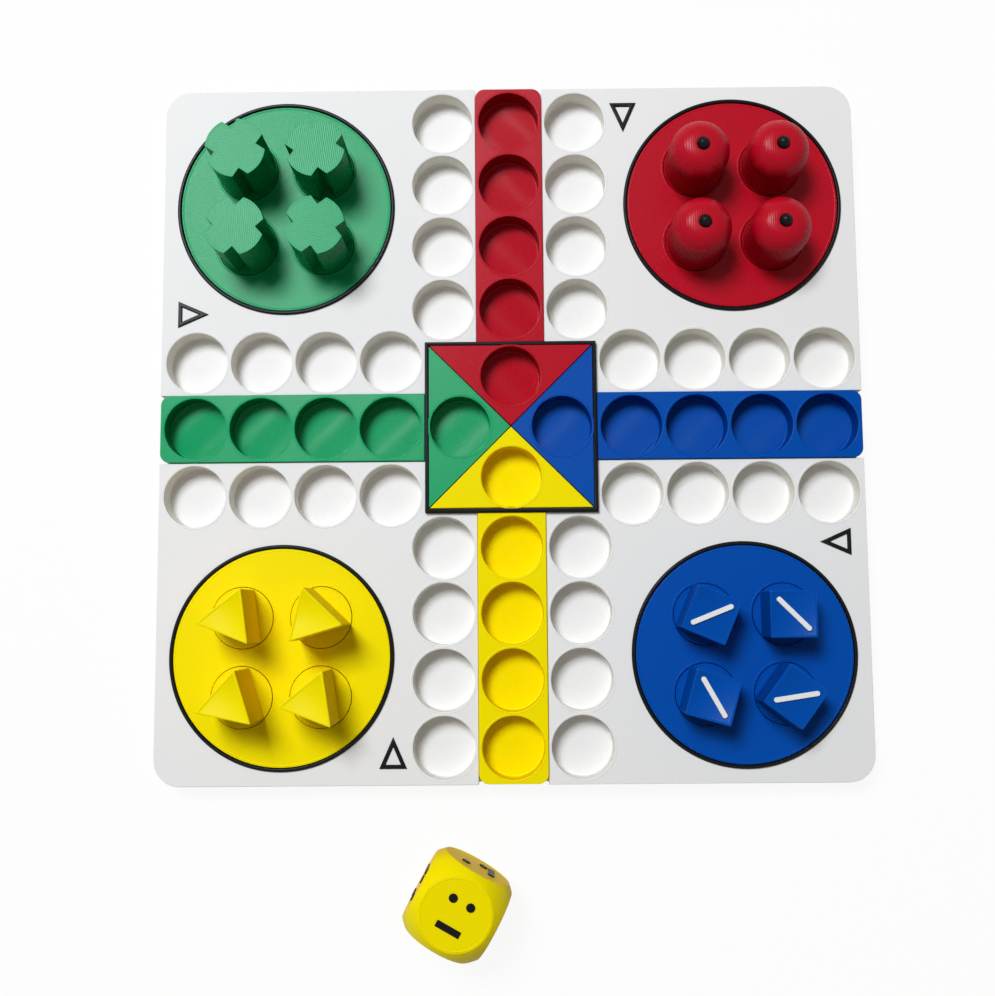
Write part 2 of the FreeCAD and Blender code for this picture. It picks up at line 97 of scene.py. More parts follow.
def linear(hex_colour: str) -> tuple[float, float, float, float]:
    """Turns an sRGB hex colour into linear light.

    Args:
        hex_colour: six hex digits after a hash sign.

    Returns:
        Red, green, blue and an alpha of 1.
    """
    channels = []
    for start in (1, 3, 5):
        value = int(hex_colour[start : start + 2], 16) / 255
        channels.append(value / 12.92 if value <= 0.04045 else ((value + 0.055) / 1.055) ** 2.4)
    return (channels[0], channels[1], channels[2], 1.0)


def add_node(
    tree: bpy.types.NodeTree,
    kind: str,
    settings: Optional[dict[str, Any]] = None,
    inputs: Optional[dict[Any, Any]] = None,
) -> bpy.types.Node:
    """Adds a node with its settings, values and links.

    Args:
        tree: the tree that gets the node.
        kind: the node's type.
        settings: properties of the node itself.
        inputs: a value or another node's output for each named or numbered input.

    Returns:
        The new node.
    """
    node = tree.nodes.new(kind)
    for key, value in (settings or {}).items():
        setattr(node, key, value)
    for key, value in (inputs or {}).items():
        if isinstance(value, bpy.types.NodeSocket):
            tree.links.new(value, node.inputs[key])
        else:
            node.inputs[key].default_value = value
    return node


@dataclass(frozen=True)
class PrintedPlastic:
    """PLA laid down by a hot nozzle: satin beads side by side on flat faces, stacked layers on upright ones.

    The eye sees fine slanting lines on tops and floors, level lines on walls, and pale ridges against
    grooves in a darker colour, which is painted shade. Walls get a darker colour than tops, which is
    painted shade on upright faces.
    """

    slot: Filament
    bead: str
    # painted shade: the groove colour is darker than the bead colour, for shade in the grooves between beads
    groove: str
    tone: str
    # painted shade: upright faces take this darker colour, with a warm tint on the white plastic
    painted_wall_shade: str
    roughness: float = 0.33
    sheen: float = 0.08
    relief_mm: float = 0.05
    bead_mm: float = 0.62  # half as much again as a real bead, so that it shows from the camera
    mottle_mm: float = 30.0
    grain_mm: float = 0.7

    @staticmethod
    def band_scale(period_mm: float) -> float:
        """A wave texture's scale for one band in each period, on coordinates in millimetres."""
        return math.pi / 10 / period_mm

    def ridges(
        self, tree: bpy.types.NodeTree, in_mm: bpy.types.NodeSocket, slope: bpy.types.NodeSocket
    ) -> bpy.types.NodeSocket:
        """Draws slanting beads on flat faces and level layers on all others.

        Args:
            tree: the material's tree.
            in_mm: the place on the piece, in millimetres.
            slope: 1 on flat faces and 0 on upright ones.

        Returns:
            The height of the ridges, from 0 to 1.
        """
        turn = add_node(tree, "ShaderNodeAttribute", {"attribute_name": TURN_ATTRIBUTE})
        turned = add_node(
            tree,
            "ShaderNodeVectorRotate",
            {"rotation_type": "Z_AXIS", "invert": True},
            {"Vector": in_mm, "Angle": turn.outputs["Fac"]},
        )
        raster = add_node(
            tree,
            "ShaderNodeTexWave",
            {"bands_direction": "X"},
            {
                "Vector": turned.outputs[0],
                "Scale": self.band_scale(self.bead_mm),
                "Distortion": 0.5,
                "Detail": 1.0,
                "Detail Scale": 0.3,
            },
        )
        layers = add_node(
            tree,
            "ShaderNodeTexWave",
            {"bands_direction": "Z"},
            {"Vector": in_mm, "Scale": self.band_scale(LAYER_MM), "Distortion": 0.15},
        )
        flat = add_node(
            tree, "ShaderNodeMapRange", inputs={"Value": slope, "From Min": 0.8, "From Max": 0.97}
        )
        mixed = add_node(
            tree,
            "ShaderNodeMix",
            {"data_type": "FLOAT"},
            {0: flat.outputs[0], 2: layers.outputs["Fac"], 3: raster.outputs["Fac"]},
        )
        return mixed.outputs[0]

    def colour(
        self,
        tree: bpy.types.NodeTree,
        in_mm: bpy.types.NodeSocket,
        slope: bpy.types.NodeSocket,
        ridges: bpy.types.NodeSocket,
    ) -> bpy.types.NodeSocket:
        """Colours ridges, paints shade in grooves, lays faint patches over them and paints shade on walls.

        Args:
            tree: the material's tree.
            in_mm: the place on the piece, in millimetres.
            slope: 1 on flat faces and 0 on upright ones.
            ridges: the height of the ridges.

        Returns:
            The colour.
        """
        mottle = add_node(
            tree,
            "ShaderNodeTexNoise",
            inputs={"Vector": in_mm, "Scale": 1 / self.mottle_mm, "Detail": 3.0},
        )
        patches = add_node(
            tree,
            "ShaderNodeMapRange",
            inputs={"Value": mottle.outputs["Fac"], "From Min": 0.35, "From Max": 0.75, "To Max": 0.55},
        )
        # mask of the painted wall shade: 0 on upright faces, which take the shade, rising to 1 on flatter faces
        wall_shade_mask = add_node(
            tree, "ShaderNodeMapRange", inputs={"Value": slope, "From Min": 0.05, "From Max": 0.45}
        )
        # painted shade in the grooves: ridges take the bead colour and grooves the darker groove colour
        lines = add_node(
            tree,
            "ShaderNodeMix",
            {"data_type": "RGBA"},
            {0: ridges, 6: linear(self.groove), 7: linear(self.bead)},
        )
        toned = add_node(
            tree,
            "ShaderNodeMix",
            {"data_type": "RGBA"},
            {0: patches.outputs[0], 6: lines.outputs[2], 7: linear(self.tone)},
        )
        # painted shade on upright faces: they take the darker wall colour
        shaded = add_node(
            tree,
            "ShaderNodeMix",
            {"data_type": "RGBA"},
            {0: wall_shade_mask.outputs[0], 6: linear(self.painted_wall_shade), 7: toned.outputs[2]},
        )
        return shaded.outputs[2]

    def build(self) -> bpy.types.Material:
        """Makes the material.

        Returns:
            A node material named for the plastic.
        """
        material = bpy.data.materials.new(f"printed_pla_{self.slot.name.lower()}")
        material.use_nodes = True
        tree = material.node_tree
        tree.nodes.clear()
        place = add_node(tree, "ShaderNodeTexCoord").outputs["Object"]
        scaled = add_node(tree, "ShaderNodeVectorMath", {"operation": "SCALE"}, {0: place, "Scale": 1 / MM})
        in_mm = scaled.outputs[0]
        surface = add_node(tree, "ShaderNodeNewGeometry")
        normal = add_node(tree, "ShaderNodeSeparateXYZ", inputs={0: surface.outputs["Normal"]})
        upward = add_node(tree, "ShaderNodeMath", {"operation": "ABSOLUTE"}, {0: normal.outputs["Z"]})
        slope = upward.outputs[0]
        ridges = self.ridges(tree, in_mm, slope)
        grain = add_node(
            tree,
            "ShaderNodeTexNoise",
            inputs={"Vector": in_mm, "Scale": 1 / self.grain_mm, "Detail": 2.0},
        )
        gloss = add_node(
            tree,
            "ShaderNodeMapRange",
            inputs={
                "Value": grain.outputs["Fac"],
                "To Min": self.roughness - 0.07,
                "To Max": self.roughness + 0.09,
            },
        )
        relief = add_node(
            tree,
            "ShaderNodeBump",
            inputs={"Strength": 0.45, "Distance": self.relief_mm * MM, "Height": ridges},
        )
        shader = add_node(
            tree,
            "ShaderNodeBsdfPrincipled",
            inputs={
                "Base Color": self.colour(tree, in_mm, slope, ridges),
                "Roughness": gloss.outputs[0],
                "IOR": 1.46,
                "Specular IOR Level": self.sheen,
                "Normal": relief.outputs[0],
            },
        )
        add_node(tree, "ShaderNodeOutputMaterial", inputs={"Surface": shader.outputs[0]})
        return material


# Colours of each finish: ridge, groove in painted shade, patches, upright faces in painted shade
FINISHES = (
    PrintedPlastic(
        Filament.WHITE, "#F1F1F0", "#ECECEB", "#EEEEEC", "#EAE7DE", roughness=0.45, sheen=0.1, relief_mm=0.02
    ),
    PrintedPlastic(
        Filament.BLACK, "#0B0C0E", "#030304", "#060708", "#040405", roughness=0.3, sheen=0.14, relief_mm=0.04
    ),
    PrintedPlastic(Filament.RED, "#C4102A", "#A80218", "#B60A20", "#980012", roughness=0.25, sheen=0.13),
    PrintedPlastic(Filament.GREEN, "#04AC6A", "#00945C", "#029E62", "#007A42", roughness=0.25, sheen=0.15),
    PrintedPlastic(Filament.YELLOW, "#FFEE00", "#F6E000", "#FAE800", "#F0C800", sheen=0.05),
    PrintedPlastic(Filament.BLUE, "#0056B8", "#00449E", "#004CAA", "#003C90", sheen=0.07),
)


class Rack:
    """The spools: one material for each plastic, and the way a piece takes it."""

    def __init__(self) -> None:
        """Makes every plastic once."""
        self.materials = {finish.slot: finish.build() for finish in FINISHES}
        self.slots = {item["node"]: Filament(item["material_slot"]) for item in frame["record"]["subparts"]}

    def dress(self, node: str, mesh: bpy.types.Mesh, turn: float) -> None:
        """Puts a mesh in the place of a CAD node.

        Args:
            node: the node that it stands for.
            mesh: the new piece's mesh, in the row frame.
            turn: the beads' direction about Z, in radians.
        """
        body = frame["nodes"][node]["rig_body"]
        piece = self.place(f"{node}_print", mesh, body, self.slots[node], turn)
        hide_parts(node)

    def place(
        self, name: str, mesh: bpy.types.Mesh, body: str, slot: Filament, turn: float
    ) -> bpy.types.Object:
        """Makes a piece of one plastic that rides on a body.

        Args:
            name: the new piece's name.
            mesh: its mesh, in the row frame.
            body: the body that carries it.
            slot: the plastic.
            turn: the direction of the beads on its flat faces about Z, in radians.

        Returns:
            The new piece.
        """
        mesh.materials.clear()
        mesh.materials.append(self.materials[slot])
        values = mesh.attributes.new(TURN_ATTRIBUTE, "FLOAT", "POINT")
        values.data.foreach_set("value", [turn] * len(mesh.vertices))
        piece = bpy.data.objects.new(name, mesh)
        bpy.context.scene.collection.objects.link(piece)
        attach(piece, body)
        LOG.info("%s: %d faces on %s", name, len(mesh.polygons), body)
        return piece


def smooth(mesh: bpy.types.Mesh, crease_degrees: float = 32.0) -> bpy.types.Mesh:
    """Shades a mesh smooth but for its creases."""
    mesh.shade_smooth()
    mesh.set_sharp_from_angle(angle=math.radians(crease_degrees))
    return mesh


def even_faces(mesh: bpy.types.Mesh) -> bpy.types.Mesh:
    """Makes large flat faces shade flat and keeps the turn of the light to the eased edges.

    Args:
        mesh: a smooth mesh, which is used up.

    Returns:
        A mesh of the same shape whose normals are weighted by area.
    """
    carrier = bpy.data.objects.new("normals_carrier", mesh)
    bpy.context.scene.collection.objects.link(carrier)
    modifier = carrier.modifiers.new("normals", "WEIGHTED_NORMAL")
    modifier.keep_sharp = True
    graph = bpy.context.evaluated_depsgraph_get()
    even = bpy.data.meshes.new_from_object(carrier.evaluated_get(graph))
    bpy.data.objects.remove(carrier)
    bpy.data.meshes.remove(mesh)
    return even


def top_edges(node: str) -> EdgeTest:
    """A test for the edges around a node's top faces."""
    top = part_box(node)[1][2]
    return lambda start, end: min(start.z, end.z) > top - LEVEL_SLACK_MM * MM


def every_edge(start: Vector, end: Vector) -> bool:
    """A test that takes every edge."""
    return True


def no_edge(start: Vector, end: Vector) -> bool:
    """A test that takes no edge."""
    return False


def eased_copy(
    node: str, ease_mm: float = 0.0, test: EdgeTest = no_edge, segments: int = 2
) -> bpy.types.Mesh:
    """Copies a CAD node with some of its sharp edges eased, as a nozzle leaves them.

    Args:
        node: the node's name.
        ease_mm: width of the rounding.
        test: whether an edge between two points is eased.
        segments: steps across the rounding.

    Returns:
        A new mesh in the row frame.
    """
    mesh = bpy.data.meshes.new(f"{node}_eased")
    work = bmesh.new()
    work.from_mesh(frame["nodes"][node].data)
    bmesh.ops.remove_doubles(work, verts=work.verts, dist=1e-6)
    bmesh.ops.dissolve_limit(
        work, angle_limit=math.radians(0.3), verts=work.verts, edges=work.edges, use_dissolve_boundaries=False
    )
    sharp = []
    for edge in work.edges:
        if len(edge.link_faces) == 2 and edge.calc_face_angle(0) > math.radians(SHARP_EDGE_DEGREES):
            if test(edge.verts[0].co, edge.verts[1].co):
                sharp.append(edge)
    bmesh.ops.bevel(
        work,
        geom=sharp,
        offset=ease_mm * MM,
        offset_type="OFFSET",
        segments=segments,
        profile=0.5,
        affect="EDGES",
        clamp_overlap=True,
    )
    work.to_mesh(mesh)
    work.free()
    return even_faces(smooth(mesh))


@dataclass
class Board:
    """The board with everything that is let into it or printed on it."""

    rack: Rack
    board_ease_mm: float = 0.22
    inlay_ease_mm: float = 0.22
    disc_ease_mm: float = 0.1
    line_ease_mm: float = 0.3
    ring_ease_mm: float = 0.5
    ring_steps: int = 4

    def build(self) -> None:
        """Dresses the sheet, the white fields and each colour's pieces."""
        self.rack.dress("base_sheet", eased_copy("base_sheet"), SLANT)
        self.ease("goal_frame", self.line_ease_mm, SLANT)
        for number, colour in enumerate(COLOURS):
            slant = SLANT if number % 2 == 0 else -SLANT
            self.ease(f"white_field_{colour}", self.board_ease_mm, SLANT)
            self.ease(f"{colour}_track", self.inlay_ease_mm, slant)
            self.ease(f"{colour}_goal_tile", self.inlay_ease_mm, slant)
            self.ease(f"{colour}_home_disc", self.disc_ease_mm, slant)
            self.ease(f"{colour}_home_ring", self.ring_ease_mm, slant, self.ring_steps)
            self.ease(f"{colour}_start_arrow", self.line_ease_mm, slant)

    def ease(self, node: str, ease_mm: float, turn: float, steps: int = 2) -> None:
        """Replaces one node by a copy with eased top edges."""
        self.rack.dress(node, eased_copy(node, ease_mm, top_edges(node), steps), turn)


@dataclass
class CupBeads:
    """The nozzle's own lines in the cups: a bead around each rim and slanting beads across each floor."""

    rack: Rack
    bead_width_mm: float = 0.45
    rim_rise_mm: float = 0.08
    rim_offset_mm: float = 0.5
    floor_pitch_mm: float = 0.66  # half as much again as a real bead, so that it shows from the camera
    floor_rise_mm: float = 0.09
    white_rise_mm: float = 0.02
    floor_corner_mm: float = 0.6
    floor_drop_mm: float = 7.0
    socket_radius_mm: float = 9.4
    die_ball_radius_mm: float = 16.3
    crease_degrees: float = 50.0

    @staticmethod
    def new_tree(name: str, sizes: tuple[str, ...]) -> tuple[bpy.types.NodeTree, Any]:
        """Starts a tree that takes cups, sizes and a plastic, and gives beads.

        Args:
            name: the tree's name.
            sizes: the names of its sizes.

        Returns:
            The node group and the sockets of its inputs.
        """
        tree = bpy.data.node_groups.new(name, "GeometryNodeTree")
        tree.interface.new_socket("Cups", in_out="INPUT", socket_type="NodeSocketGeometry")
        for size in sizes:
            tree.interface.new_socket(size, in_out="INPUT", socket_type="NodeSocketFloat")
        tree.interface.new_socket("Plastic", in_out="INPUT", socket_type="NodeSocketMaterial")
        tree.interface.new_socket("Beads", in_out="OUTPUT", socket_type="NodeSocketGeometry")
        return tree, add_node(tree, "NodeGroupInput").outputs

    @staticmethod
    def pressed(
        tree: bpy.types.NodeTree,
        shape: bpy.types.NodeSocket,
        rise: bpy.types.NodeSocket,
        half: bpy.types.NodeSocket,
    ) -> bpy.types.NodeSocket:
        """Presses a round bead of half its width down to its rise."""
        squash = add_node(tree, "ShaderNodeMath", {"operation": "DIVIDE"}, {0: rise, 1: half})
        scale = add_node(tree, "ShaderNodeCombineXYZ", inputs={"X": 1.0, "Y": 1.0, "Z": squash.outputs[0]})
        flat = add_node(tree, "GeometryNodeTransform", inputs={"Geometry": shape, "Scale": scale.outputs[0]})
        return flat.outputs[0]

    def rim_tree(self) -> bpy.types.NodeTree:
        """A tree that lays one ring of plastic around each point.

        Returns:
            The node group, with its sizes as named inputs.
        """
        tree, sizes = self.new_tree("rim_beads", ("Radius", "Bead width", "Bead rise"))
        half = add_node(tree, "ShaderNodeMath", {"operation": "MULTIPLY"}, {0: sizes["Bead width"], 1: 0.5})
        ring = add_node(
            tree, "GeometryNodeCurvePrimitiveCircle", inputs={"Resolution": 72, "Radius": sizes["Radius"]}
        )
        profile = add_node(
            tree, "GeometryNodeCurvePrimitiveCircle", inputs={"Resolution": 8, "Radius": half.outputs[0]}
        )
        tube = add_node(
            tree,
            "GeometryNodeCurveToMesh",
            inputs={"Curve": ring.outputs[0], "Profile Curve": profile.outputs[0]},
        )
        flat = self.pressed(tree, tube.outputs[0], sizes["Bead rise"], half.outputs[0])
        self.finish_tree(tree, sizes, flat)
        return tree

    def floor_tree(self) -> bpy.types.NodeTree:
        """A tree that lays parallel beads across a round floor at each point.

        Returns:
            The node group, with its sizes as named inputs.
        """
        tree, sizes = self.new_tree("floor_beads", ("Radius", "Pitch", "Bead rise", "Turn"))
        radius = sizes["Radius"]
        pitch = sizes["Pitch"]
        half = add_node(tree, "ShaderNodeMath", {"operation": "MULTIPLY"}, {0: pitch, 1: 0.5})
        across = add_node(tree, "ShaderNodeMath", {"operation": "MULTIPLY"}, {0: radius, 1: 2.0})
        count = add_node(tree, "ShaderNodeMath", {"operation": "DIVIDE"}, {0: across.outputs[0], 1: pitch})
        whole = add_node(tree, "ShaderNodeMath", {"operation": "FLOOR"}, {0: count.outputs[0]})
        start = add_node(tree, "ShaderNodeMath", {"operation": "SUBTRACT"}, {0: half.outputs[0], 1: radius})
        first = add_node(tree, "ShaderNodeCombineXYZ", inputs={"X": start.outputs[0]})
        step = add_node(tree, "ShaderNodeCombineXYZ", inputs={"X": pitch})
        line = add_node(
            tree,
            "GeometryNodeMeshLine",
            {"mode": "OFFSET"},
            {"Count": whole.outputs[0], "Start Location": first.outputs[0], "Offset": step.outputs[0]},
        )
        where = add_node(tree, "GeometryNodeInputPosition")
        aside = add_node(tree, "ShaderNodeSeparateXYZ", inputs={0: where.outputs[0]}).outputs["X"]
        square = add_node(tree, "ShaderNodeMath", {"operation": "MULTIPLY"}, {0: aside, 1: aside})
        rim = add_node(tree, "ShaderNodeMath", {"operation": "MULTIPLY"}, {0: radius, 1: radius})
        rest = add_node(
            tree, "ShaderNodeMath", {"operation": "SUBTRACT"}, {0: rim.outputs[0], 1: square.outputs[0]}
        )
        root = add_node(tree, "ShaderNodeMath", {"operation": "SQRT"}, {0: rest.outputs[0]})
        chord = add_node(tree, "ShaderNodeMath", {"operation": "MULTIPLY"}, {0: root.outputs[0], 1: 2.0})
        bead = add_node(
            tree,
            "GeometryNodeMeshCylinder",
            {"fill_type": "NGON"},
            {"Vertices": 6, "Radius": half.outputs[0], "Depth": 1.0},
        )
        lying = add_node(
            tree,
            "GeometryNodeTransform",
            inputs={"Geometry": bead.outputs["Mesh"], "Rotation": (math.pi / 2, 0.0, 0.0)},
        )
        flat = self.pressed(tree, lying.outputs[0], sizes["Bead rise"], half.outputs[0])
        length = add_node(tree, "ShaderNodeCombineXYZ", inputs={"X": 1.0, "Y": chord.outputs[0], "Z": 1.0})
        laid = add_node(
            tree,
            "GeometryNodeInstanceOnPoints",
            inputs={"Points": line.outputs[0], "Instance": flat, "Scale": length.outputs[0]},
        )
        real = add_node(tree, "GeometryNodeRealizeInstances", inputs={0: laid.outputs[0]})
        angle = add_node(tree, "ShaderNodeCombineXYZ", inputs={"Z": sizes["Turn"]})
        turned = add_node(
            tree, "GeometryNodeTransform", inputs={"Geometry": real.outputs[0], "Rotation": angle.outputs[0]}
        )
        self.finish_tree(tree, sizes, turned.outputs[0])
        return tree

    @staticmethod
    def finish_tree(tree: bpy.types.NodeTree, sizes: Any, shape: bpy.types.NodeSocket) -> None:
        """Repeats a shape at every cup, makes it real and gives it its plastic."""
        facing = add_node(
            tree, "GeometryNodeInputNamedAttribute", {"data_type": "FLOAT_VECTOR"}, {"Name": FACING_ATTRIBUTE}
        )
        upright = add_node(
            tree, "FunctionNodeAlignRotationToVector", {"axis": "Z"}, {"Vector": facing.outputs[0]}
        )
        spread = add_node(
            tree,
            "GeometryNodeInstanceOnPoints",
            inputs={"Points": sizes["Cups"], "Instance": shape, "Rotation": upright.outputs[0]},
        )
        real = add_node(tree, "GeometryNodeRealizeInstances", inputs={0: spread.outputs[0]})
        plastic = add_node(
            tree,
            "GeometryNodeSetMaterial",
            inputs={"Geometry": real.outputs[0], "Material": sizes["Plastic"]},
        )
        add_node(tree, "NodeGroupOutput", inputs={0: plastic.outputs[0]})

    def lay(
        self,
        name: str,
        tree: bpy.types.NodeTree,
        places: list[tuple[Vector, Vector]],
        values: dict[str, float],
        slot: Filament,
        body: str = "board",
    ) -> None:
        """Runs a tree on some places and keeps the result as a plain mesh on a body.

        Args:
            name: the new piece's name.
            tree: one of this class's trees.
            places: a point and the direction that its face looks in, for each shape.
            values: the tree's sizes by name.
            slot: the plastic.
            body: the body that carries the beads.
        """
        points = bpy.data.meshes.new(f"{name}_points")
        points.from_pydata([point for point, _ in places], [], [])
        facing = points.attributes.new(FACING_ATTRIBUTE, "FLOAT_VECTOR", "POINT")
        for number, (_, direction) in enumerate(places):
            facing.data[number].vector = direction
        carrier = bpy.data.objects.new(f"{name}_carrier", points)
        bpy.context.scene.collection.objects.link(carrier)
        modifier = carrier.modifiers.new("beads", "NODES")
        modifier.node_group = tree
        for item in tree.interface.items_tree:
            if item.in_out == "INPUT" and item.name in values:
                modifier[item.identifier] = values[item.name]
            if item.in_out == "INPUT" and item.name == "Plastic":
                modifier[item.identifier] = self.rack.materials[slot]
        graph = bpy.context.evaluated_depsgraph_get()
        mesh = bpy.data.meshes.new_from_object(carrier.evaluated_get(graph))
        carrier.modifiers.remove(modifier)
        bpy.data.objects.remove(carrier)
        work = bmesh.new()
        work.from_mesh(mesh)
        bmesh.ops.recalc_face_normals(work, faces=work.faces)
        work.to_mesh(mesh)
        work.free()
        self.rack.place(name, smooth(mesh, self.crease_degrees), body, slot, values.get("Turn", SLANT))

    def ring_sizes(self, radius: float) -> dict[str, float]:
        """The rim tree's sizes for a ring of a radius in metres."""
        return {"Radius": radius, "Bead width": self.bead_width_mm * MM, "Bead rise": self.rim_rise_mm * MM}

    def build(self) -> None:
        """Lays the beads of the cups, the home discs, their sockets and the die's faces."""
        rims = self.rim_tree()
        floors = self.floor_tree()
        groups: dict[str, list[dict[str, Any]]] = {}
        for mount in frame["record"]["mounts"]:
            if mount["kind"] == "bore":
                groups.setdefault(mount["name"].split("_cup")[0], []).append(mount)
        for group, cups in groups.items():
            self.cup_beads(group, cups, rims, floors)
        for colour in COLOURS:
            self.home_rims(colour, rims)
        self.die_rims(rims)

    def cup_beads(
        self, group: str, cups: list[dict[str, Any]], rims: bpy.types.NodeTree, floors: bpy.types.NodeTree
    ) -> None:
        """Lays a ring around each cup of a group and beads across its floor.

        Args:
            group: the first words of the cups' names.
            cups: the record's mounts of the group, all of one radius.
            rims: the tree for rings.
            floors: the tree for floors.
        """
        node = {"white": "white_field_red"}.get(group, group.replace("goal", "goal_tile"))
        slot = self.rack.slots[node]
        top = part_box(node)[1][2]
        radius = cups[0]["dims"]["r_mm"] * MM
        rise = self.white_rise_mm if slot is Filament.WHITE else self.floor_rise_mm
        rim = [(Vector((*cup["pos_m"][:2], top)), UP) for cup in cups]
        floor = [(point - UP * self.floor_drop_mm * MM, UP) for point, _ in rim]
        self.lay(f"{group}_rims", rims, rim, self.ring_sizes(radius + self.rim_offset_mm * MM), slot)
        sizes = {
            "Radius": radius - self.floor_corner_mm * MM,
            "Pitch": self.floor_pitch_mm * MM,
            "Bead rise": rise * MM,
            "Turn": SLANT if group.startswith(("white", "red", "yellow")) else -SLANT,
        }
        self.lay(f"{group}_floors", floors, floor, sizes, slot)

    def home_rims(self, colour: str, rims: bpy.types.NodeTree) -> None:
        """Rings around one home disc and its four sockets."""
        low, high = (Vector(corner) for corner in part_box(f"{colour}_home_disc"))
        slot = Filament(f"{colour}_print")
        middle = Vector(((low.x + high.x) / 2, (low.y + high.y) / 2, high.z))
        edge = self.ring_sizes((high.x - low.x) / 2 - self.rim_offset_mm * MM)
        self.lay(f"{colour}_home_rim", rims, [(middle, UP)], edge, slot)
        sockets = []
        for number in PAWN_NUMBERS:
            start, end = (Vector(corner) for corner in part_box(f"{colour}_pawn_{number}"))
            sockets.append((Vector(((start.x + end.x) / 2, (start.y + end.y) / 2, high.z)), UP))
        around = self.ring_sizes((self.socket_radius_mm + self.rim_offset_mm) * MM)
        self.lay(f"{colour}_socket_rims", rims, sockets, around, slot)

    def die_rims(self, rims: bpy.types.NodeTree) -> None:
        """Rings just inside the edges of the die's round faces."""
        turn = Matrix.Rotation(DIE_TURN, 3, "Z")
        low, high = (Vector(corner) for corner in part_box("die"))
        middle = (low + high) / 2
        half = (high.z - low.z) / 2
        ball = self.die_ball_radius_mm * MM
        faces = []
        for axis in range(3):
            for sign in (-1.0, 1.0):
                facing = turn @ Vector([sign if number == axis else 0.0 for number in range(3)])
                faces.append((middle + facing * half, facing))
        radius = math.sqrt(ball * ball - half * half) - self.rim_offset_mm * MM
        self.lay("die_face_rims", rims, faces, self.ring_sizes(radius), Filament.YELLOW, "die")


@dataclass
class LayerStack:
    """A mesh of closed outlines one above the other, with a shallow groove between printed layers.

    The grooves lie at whole layers above the floor, where the plastic's own layer lines have theirs.
    """

    groove_mm: float = 0.04
    ridge_shares: tuple[float, float] = (0.3, 0.7)
    crown_mm: float = 0.12
    lip_mm: float = 0.55
    sink_mm: float = 0.05
    crease_degrees: float = 40.0
    verts: list[Vector] = field(default_factory=list)
    faces: list[tuple[int, ...]] = field(default_factory=list)

    def levels(self, low: float, high: float) -> list[tuple[float, float]]:
        """Heights of the outlines between two ends, each with how far it is drawn in, in millimetres."""
        found = []
        base = low
        number = math.floor(low / LAYER_MM)
        while base < high - self.crown_mm - LAYER_MM / 2:
            number += 1
            step = number * LAYER_MM - base
            found.append((base, self.groove_mm))
            found += [(base + share * step, 0.0) for share in self.ridge_shares]
            base += step
        found[-1] = (high - self.crown_mm, 0.0)
        found.append((high, self.crown_mm))
        return found

    def add(self, shape: Callable[[float, float], Outline], low: float, high: float, axis: Vector) -> None:
        """Stacks one closed column.

        Args:
            shape: gives the outline in millimetres for a height and a draw-in.
            low: the column's lower end, in millimetres.
            high: its upper end.
            axis: where its axis stands, in metres.
        """
        start = len(self.verts)
        rings = [(height, shape(height, inset)) for height, inset in self.levels(low, high)]
        rings.append((high, shape(high, self.lip_mm)))
        rings.append((high - self.sink_mm, shape(high, self.lip_mm + self.sink_mm)))
        around = len(rings[0][1])
        for height, outline in rings:
            self.verts += [Vector((axis.x + x * MM, axis.y + y * MM, height * MM)) for x, y in outline]
        for ring in range(len(rings) - 1):
            base = start + ring * around
            for side in range(around):
                after = (side + 1) % around
                self.faces.append((base + side, base + after, base + around + after, base + around + side))
        self.faces.append(tuple(start + side for side in reversed(range(around))))
        last = start + (len(rings) - 1) * around
        self.faces.append(tuple(last + side for side in range(around)))

    def mesh(self, name: str) -> bpy.types.Mesh:
        """The finished mesh, shaded smooth but for its creases."""
        mesh = bpy.data.meshes.new(name)
        mesh.from_pydata(self.verts, [], self.faces)
        mesh.validate()
        return smooth(mesh, self.crease_degrees)


def rounded_polygon(corners: Outline, radius: float, steps: int = 5) -> Outline:
    """Rounds every corner of a convex polygon.

    Args:
        corners: its corners, anticlockwise.
        radius: the rounding's radius, in the same unit.
        steps: straight steps on each rounding.

    Returns:
        The rounded outline.
    """
    outline = []
    for number, corner in enumerate(corners):
        here = Vector(corner)
        to_before = (Vector(corners[number - 1]) - here).normalized()
        to_after = (Vector(corners[(number + 1) % len(corners)]) - here).normalized()
        half = to_before.angle(to_after) / 2
        middle = here + (to_before + to_after).normalized() * (radius / math.sin(half))
        first = here + to_before * (radius / math.tan(half)) - middle
        sweep = math.pi - 2 * half
        for step in range(steps + 1):
            turned = Matrix.Rotation(sweep * step / steps, 2) @ first
            outline.append(tuple(middle + turned))
    return outline


